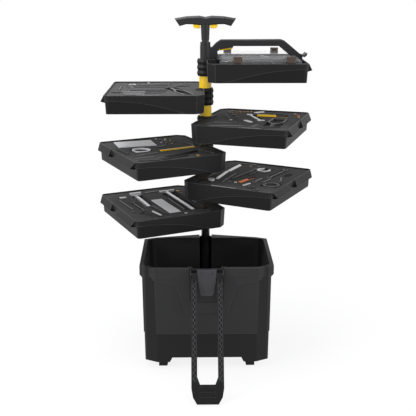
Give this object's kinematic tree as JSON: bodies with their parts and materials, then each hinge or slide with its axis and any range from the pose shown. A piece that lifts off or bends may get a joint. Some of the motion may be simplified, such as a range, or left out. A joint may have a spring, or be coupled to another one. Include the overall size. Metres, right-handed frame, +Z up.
{
  "type": "rolling tool case",
  "caption": "Wheeled tub with a telescoping column whose swing-out trays fan to both sides, a pull handle, a carrying arch and a locking strap.",
  "frame": {"origin": "on the floor under the axis of the column, in the plane that the feet and wheels stand on", "axes": "+X to the right seen from the buckle side, +Y to the back where the wheels are, +Z up along the column"},
  "size_m": [0.7806, 0.7832, 1.1775],
  "materials": {
    "tub_plastic": "matte",
    "tray_plastic": "matte",
    "collar_rubber": "matte",
    "foam": "matte",
    "yellow_tube": "satin",
    "post_steel": "satin",
    "bearing_plastic": "satin",
    "bright_steel": "satin",
    "tool_steel": "satin",
    "clear_plastic": "gloss",
    "amber_plastic": "gloss",
    "yellow_plastic": "satin",
    "grip_plastic": "satin",
    "tyre_rubber": "matte",
    "strap_rubber": "matte",
    "buckle_plastic": "satin"
  },
  "bodies": {
    "base": {"tub_shell": "tub_plastic", "front_feet": "tub_plastic", "axle": "bright_steel", "axle_caps": "bright_steel", "base_post": "post_steel", "post_foot": "tub_plastic", "post_guide": "bearing_plastic", "post_screws": "bright_steel", "buckle_base": "tray_plastic", "strap_pin": "bright_steel"},
    "wheel_left": {"wheel_hub_left": "bearing_plastic", "wheel_tyre_left": "tyre_rubber"},
    "wheel_right": {"wheel_hub_right": "bearing_plastic", "wheel_tyre_right": "tyre_rubber"},
    "column": {"column_tube": "yellow_tube", "column_foot_ring": "bearing_plastic", "column_head": "bearing_plastic"},
    "top_tray": {"tray_1_collar": "collar_rubber", "tray_1_shell": "tray_plastic", "tray_1_divider": "tray_plastic", "cover_hinge_pins": "bright_steel", "carry_arch": "grip_plastic"},
    "back_cover": {"cover_back": "clear_plastic"},
    "front_cover": {"cover_front": "clear_plastic"},
    "back_latch_near": {"latch_back_near": "amber_plastic"},
    "back_latch_far": {"latch_back_far": "amber_plastic"},
    "front_latch_near": {"latch_front_near": "amber_plastic"},
    "front_latch_far": {"latch_front_far": "amber_plastic"},
    "lever": {"release_lever": "yellow_plastic"},
    "pull_handle": {"handle_stem": "post_steel", "handle_grip": "grip_plastic"},
    "left_trigger": {"trigger_left": "yellow_plastic"},
    "right_trigger": {"trigger_right": "yellow_plastic"},
    "buckle": {"buckle_lever": "buckle_plastic"},
    "lock_strap": {"strap": "strap_rubber"},
    "carrier_2": {"tray_2_bush": "bearing_plastic"},
    "tray_2": {"tray_2_collar": "collar_rubber", "tray_2_shell": "tray_plastic", "tray_2_foam": "foam", "tray_2_tools": "tool_steel"},
    "carrier_3": {"tray_3_bush": "bearing_plastic"},
    "tray_3": {"tray_3_collar": "collar_rubber", "tray_3_shell": "tray_plastic", "tray_3_foam": "foam", "tray_3_tools": "tool_steel"},
    "carrier_4": {"tray_4_bush": "bearing_plastic"},
    "tray_4": {"tray_4_collar": "collar_rubber", "tray_4_shell": "tray_plastic", "tray_4_foam": "foam", "tray_4_tools": "tool_steel"},
    "carrier_5": {"tray_5_bush": "bearing_plastic"},
    "tray_5": {"tray_5_collar": "collar_rubber", "tray_5_shell": "tray_plastic", "tray_5_foam": "foam", "tray_5_tools": "tool_steel"},
    "carrier_6": {"tray_6_bush": "bearing_plastic"},
    "tray_6": {"tray_6_collar": "collar_rubber", "tray_6_shell": "tray_plastic", "tray_6_foam": "foam", "tray_6_tools": "tool_steel"}
  },
  "joints": [
    {"name": "column_lift", "type": "slide", "parent": "base", "child": "column", "axis": [0, 0, 1], "range_m": [-0.263, 0]},
    {"name": "top_tray_turn", "type": "hinge", "parent": "column", "child": "top_tray", "pos_m": [0, 0, 0.99], "axis": [0, 0, 1], "range_deg": [-90, 15]},
    {"name": "carrier_2_lift", "type": "slide", "parent": "column", "child": "carrier_2", "axis": [0, 0, 1], "range_m": [0, 0.038]},
    {"name": "tray_2_turn", "type": "hinge", "parent": "carrier_2", "child": "tray_2", "pos_m": [0, 0, 0.897], "axis": [0, 0, 1], "range_deg": [-15, 90]},
    {"name": "carrier_3_lift", "type": "slide", "parent": "column", "child": "carrier_3", "axis": [0, 0, 1], "range_m": [0, 0.073]},
    {"name": "tray_3_turn", "type": "hinge", "parent": "carrier_3", "child": "tray_3", "pos_m": [0, 0, 0.797], "axis": [0, 0, 1], "range_deg": [-71.1, 33.9]},
    {"name": "carrier_4_lift", "type": "slide", "parent": "column", "child": "carrier_4", "axis": [0, 0, 1], "range_m": [0, 0.108]},
    {"name": "tray_4_turn", "type": "hinge", "parent": "carrier_4", "child": "tray_4", "pos_m": [0, 0, 0.697], "axis": [0, 0, 1], "range_deg": [-40.6, 64.4]},
    {"name": "carrier_5_lift", "type": "slide", "parent": "column", "child": "carrier_5", "axis": [0, 0, 1], "range_m": [0, 0.143]},
    {"name": "tray_5_turn", "type": "hinge", "parent": "carrier_5", "child": "tray_5", "pos_m": [0, 0, 0.597], "axis": [0, 0, 1], "range_deg": [-61.7, 43.3]},
    {"name": "carrier_6_lift", "type": "slide", "parent": "column", "child": "carrier_6", "axis": [0, 0, 1], "range_m": [0, 0.178]},
    {"name": "tray_6_turn", "type": "hinge", "parent": "carrier_6", "child": "tray_6", "pos_m": [0, 0, 0.497], "axis": [0, 0, 1], "range_deg": [-39.6, 65.4]},
    {"name": "back_cover_hinge", "type": "hinge", "parent": "top_tray", "child": "back_cover", "pos_m": [0.183, 0.018, 1.0345], "axis": [1, 0, 0], "range_deg": [0, 60]},
    {"name": "front_cover_hinge", "type": "hinge", "parent": "top_tray", "child": "front_cover", "pos_m": [0.183, -0.018, 1.0345], "axis": [-1, 0, 0], "range_deg": [0, 60]},
    {"name": "back_latch_near_hinge", "type": "hinge", "parent": "back_cover", "child": "back_latch_near", "pos_m": [0.085, 0.1815, 1.05], "axis": [1, 0, 0], "range_deg": [0, 75]},
    {"name": "back_latch_far_hinge", "type": "hinge", "parent": "back_cover", "child": "back_latch_far", "pos_m": [0.261, 0.1815, 1.05], "axis": [1, 0, 0], "range_deg": [0, 75]},
    {"name": "front_latch_near_hinge", "type": "hinge", "parent": "front_cover", "child": "front_latch_near", "pos_m": [0.105, -0.1815, 1.05], "axis": [-1, 0, 0], "range_deg": [0, 75]},
    {"name": "front_latch_far_hinge", "type": "hinge", "parent": "front_cover", "child": "front_latch_far", "pos_m": [0.281, -0.1815, 1.05], "axis": [-1, 0, 0], "range_deg": [0, 75]},
    {"name": "release_lever_hinge", "type": "hinge", "parent": "top_tray", "child": "lever", "pos_m": [0.05, 0, 1.0635], "axis": [0, -1, 0], "range_deg": [0, 5], "stiffness_Nm_per_rad": 0.3, "springref_deg": -5.73},
    {"name": "handle_lift", "type": "slide", "parent": "column", "child": "pull_handle", "axis": [0, 0, 1], "range_m": [0, 0.11]},
    {"name": "left_trigger_squeeze", "type": "slide", "parent": "pull_handle", "child": "left_trigger", "axis": [0, 0, 1], "range_m": [0, 0.005], "stiffness_N_per_m": 600, "springref_m": -0.003},
    {"name": "right_trigger_squeeze", "type": "slide", "parent": "pull_handle", "child": "right_trigger", "axis": [0, 0, 1], "range_m": [0, 0.005], "stiffness_N_per_m": 600, "springref_m": -0.003},
    {"name": "buckle_hinge", "type": "hinge", "parent": "base", "child": "buckle", "pos_m": [0, -0.372, 0.36], "axis": [-1, 0, 0], "range_deg": [0, 110]},
    {"name": "strap_hinge", "type": "hinge", "parent": "base", "child": "lock_strap", "pos_m": [0, -0.372, 0.36], "axis": [-1, 0, 0], "range_deg": [0, 147.5]},
    {"name": "left_wheel_spin", "type": "hinge", "parent": "base", "child": "wheel_left", "pos_m": [-0.164, -0.022, 0.035], "axis": [1, 0, 0], "continuous": true},
    {"name": "right_wheel_spin", "type": "hinge", "parent": "base", "child": "wheel_right", "pos_m": [0.164, -0.022, 0.035], "axis": [1, 0, 0], "continuous": true}
  ],
  "couplings": [
    {"joint": "carrier_2_lift", "follows": "column_lift", "ratio": -0.14449},
    {"joint": "carrier_3_lift", "follows": "column_lift", "ratio": -0.27757},
    {"joint": "carrier_4_lift", "follows": "column_lift", "ratio": -0.41065},
    {"joint": "carrier_5_lift", "follows": "column_lift", "ratio": -0.54373},
    {"joint": "carrier_6_lift", "follows": "column_lift", "ratio": -0.67681}
  ]
}
